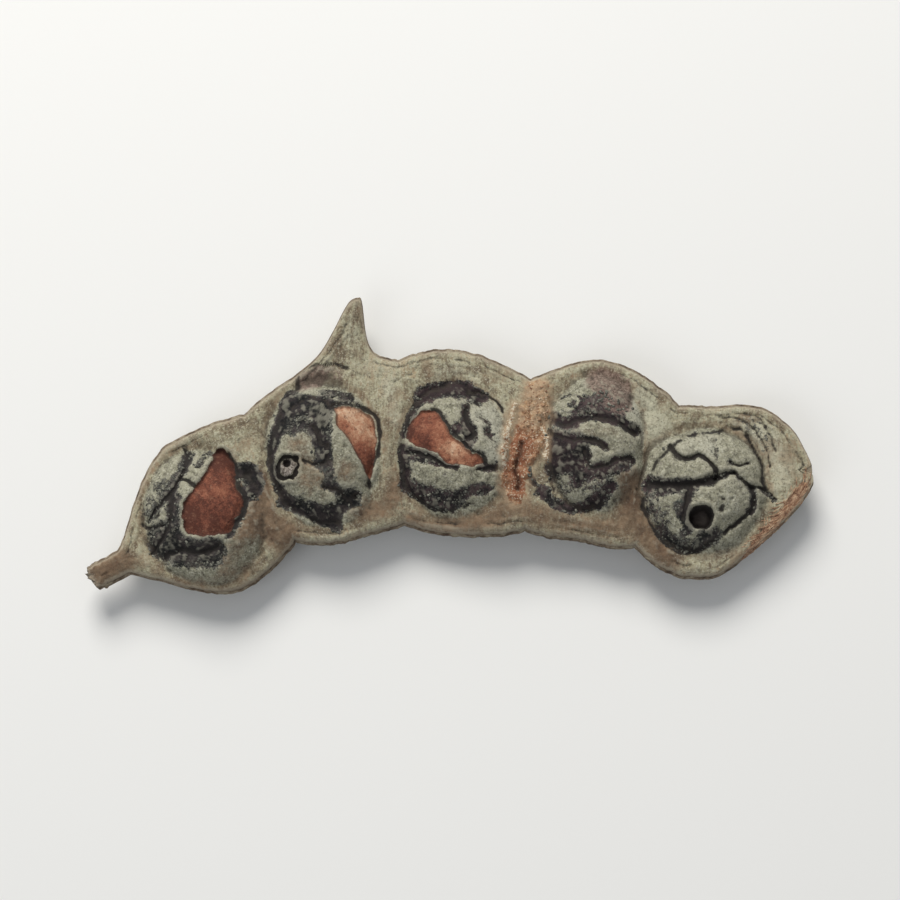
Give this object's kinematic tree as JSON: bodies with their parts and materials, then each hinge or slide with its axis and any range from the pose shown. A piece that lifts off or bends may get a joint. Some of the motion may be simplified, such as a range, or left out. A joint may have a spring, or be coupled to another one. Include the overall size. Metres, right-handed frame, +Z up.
{
  "type": "dried acacia pod",
  "caption": "Flat dried acacia seed pod with round-topped beads, felted grey-green skin, seed swellings, insect holes and a pointed tip.",
  "frame": {"origin": "middle of the pod's footprint, on the surface that it lies on", "axes": "+X from the stalk to the tip along the length, +Y across to the far margin, +Z up through the broad face"},
  "size_m": [0.0734, 0.0304, 0.0073],
  "materials": {
    "pod_skin": "matte, dry and felted"
  },
  "bodies": {
    "root": {"pod": "pod_skin"}
  },
  "joints": []
}
